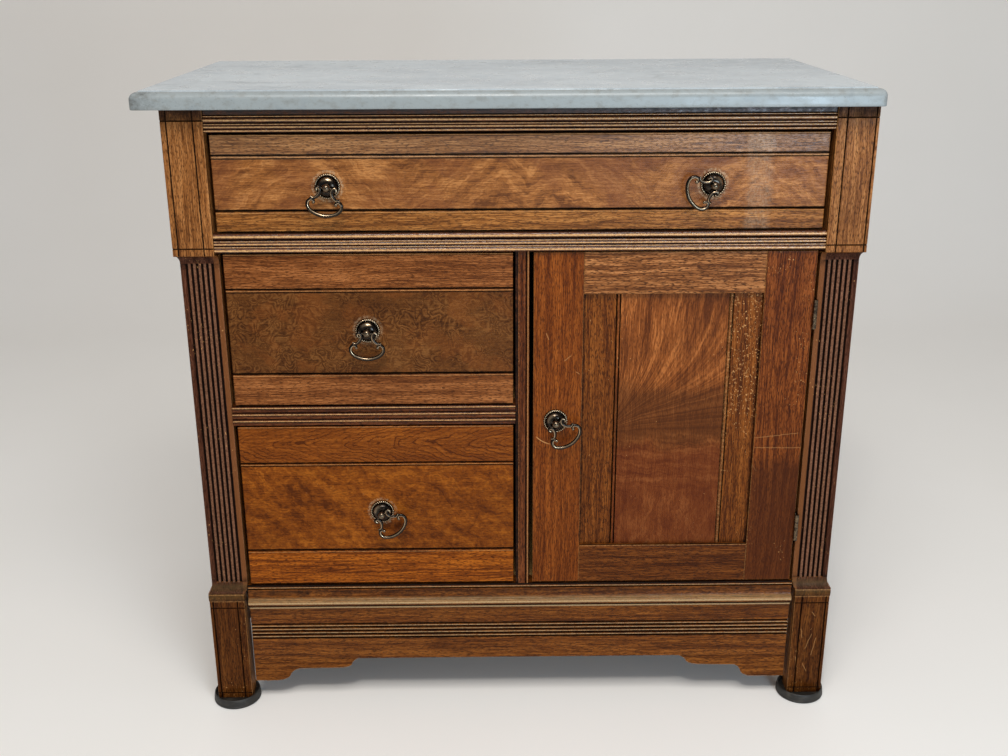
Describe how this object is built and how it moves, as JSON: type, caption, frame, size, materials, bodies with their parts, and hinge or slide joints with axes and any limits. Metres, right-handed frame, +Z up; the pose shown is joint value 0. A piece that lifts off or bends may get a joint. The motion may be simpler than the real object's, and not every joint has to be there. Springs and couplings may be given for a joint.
{
  "type": "marble-top washstand cabinet",
  "caption": "Marble-topped wooden washstand: a long drawer over small drawers stacked beside a cupboard door, fluted corner posts, drop bail pulls and rubber cups under the legs.",
  "frame": {"origin": "middle of the footprint on the floor: the centre of the underside of the bounding box", "axes": "+Z up, -Y towards someone who faces the drawers, +X to their right"},
  "size_m": [0.8278, 0.406, 0.781],
  "materials": {
    "dark_walnut": "old shellac, worn at the arrises",
    "front_walnut": "old shellac over figured walnut",
    "panel_walnut": "old shellac over figured walnut",
    "poplar": "bare sawn and planed wood",
    "marble": "honed white marble with grey clouding",
    "bronze": "darkened brass, rubbed bright on the high parts",
    "rubber": "dark brown moulded rubber"
  },
  "bodies": {
    "case": {"marble_top": "marble", "front_stile_left": "dark_walnut", "front_stile_right": "dark_walnut", "top_rail": "dark_walnut", "mid_rail": "dark_walnut", "drawer_divider_rail": "dark_walnut", "base_rail": "front_walnut", "bracket_left": "front_walnut", "bracket_right": "dark_walnut", "rear_post_left": "dark_walnut", "side_top_rail_left": "dark_walnut", "side_base_rail_left": "dark_walnut", "side_panel_left": "panel_walnut", "rear_post_right": "dark_walnut", "side_top_rail_right": "dark_walnut", "side_base_rail_right": "dark_walnut", "side_panel_right": "panel_walnut", "back_panel": "poplar", "runner_board_top": "poplar", "runner_board_middle": "poplar", "floor_board": "poplar", "partition": "dark_walnut", "hinge_upper_frame_leaf": "bronze", "hinge_lower_frame_leaf": "bronze", "foot_cup_front_left": "rubber", "foot_cup_front_right": "rubber", "foot_cup_rear_left": "rubber", "foot_cup_rear_right": "rubber"},
    "top_drawer": {"top_drawer_front": "front_walnut", "top_drawer_side_left": "poplar", "top_drawer_side_right": "poplar", "top_drawer_back": "poplar", "top_drawer_bottom": "poplar", "top_drawer_left_rosette": "bronze", "top_drawer_right_rosette": "bronze"},
    "upper_drawer": {"upper_drawer_front": "front_walnut", "upper_drawer_side_left": "poplar", "upper_drawer_side_right": "poplar", "upper_drawer_back": "poplar", "upper_drawer_bottom": "poplar", "upper_drawer_rosette": "bronze"},
    "lower_drawer": {"lower_drawer_front": "front_walnut", "lower_drawer_side_left": "poplar", "lower_drawer_side_right": "poplar", "lower_drawer_back": "poplar", "lower_drawer_bottom": "poplar", "lower_drawer_rosette": "bronze"},
    "door": {"door_latch_stile": "front_walnut", "door_hinge_stile": "front_walnut", "door_top_rail": "front_walnut", "door_bottom_rail": "front_walnut", "door_panel": "panel_walnut", "door_rosette": "bronze", "hinge_upper_door_leaf": "bronze", "hinge_lower_door_leaf": "bronze"},
    "top_left_bail": {"top_drawer_left_bail": "bronze"},
    "top_right_bail": {"top_drawer_right_bail": "bronze"},
    "upper_drawer_bail": {"upper_drawer_bail": "bronze"},
    "lower_drawer_bail": {"lower_drawer_bail": "bronze"},
    "door_bail": {"door_bail": "bronze"}
  },
  "joints": [
    {"name": "top_drawer_slide", "type": "slide", "parent": "case", "child": "top_drawer", "axis": [0, -1, 0], "range_m": [0, 0.28]},
    {"name": "upper_drawer_slide", "type": "slide", "parent": "case", "child": "upper_drawer", "axis": [0, -1, 0], "range_m": [0, 0.28]},
    {"name": "lower_drawer_slide", "type": "slide", "parent": "case", "child": "lower_drawer", "axis": [0, -1, 0], "range_m": [0, 0.28]},
    {"name": "door_hinge", "type": "hinge", "parent": "case", "child": "door", "pos_m": [0.34795, -0.1774, 0.3837], "axis": [0, 0, 1], "range_deg": [0, 135]},
    {"name": "top_left_bail_hinge", "type": "hinge", "parent": "top_drawer", "child": "top_left_bail", "pos_m": [-0.21025, -0.1871, 0.6738], "axis": [-0.989, 0, 0.1478], "range_deg": [-15, 165]},
    {"name": "top_right_bail_hinge", "type": "hinge", "parent": "top_drawer", "child": "top_right_bail", "pos_m": [0.22115, -0.1871, 0.6738], "axis": [-0.4067, 0, 0.9135], "range_deg": [-15, 165]},
    {"name": "upper_drawer_bail_hinge", "type": "hinge", "parent": "upper_drawer", "child": "upper_drawer_bail", "pos_m": [-0.17275, -0.1871, 0.505], "axis": [-0.9998, 0, 0.0175], "range_deg": [-15, 165]},
    {"name": "lower_drawer_bail_hinge", "type": "hinge", "parent": "lower_drawer", "child": "lower_drawer_bail", "pos_m": [-0.16455, -0.1871, 0.272], "axis": [-0.7431, 0, -0.6691], "range_deg": [-15, 165]},
    {"name": "door_bail_hinge", "type": "hinge", "parent": "door", "child": "door_bail", "pos_m": [0.04755, -0.1872, 0.3901], "axis": [-0.7826, 0, -0.6225], "range_deg": [-15, 165]}
  ]
}
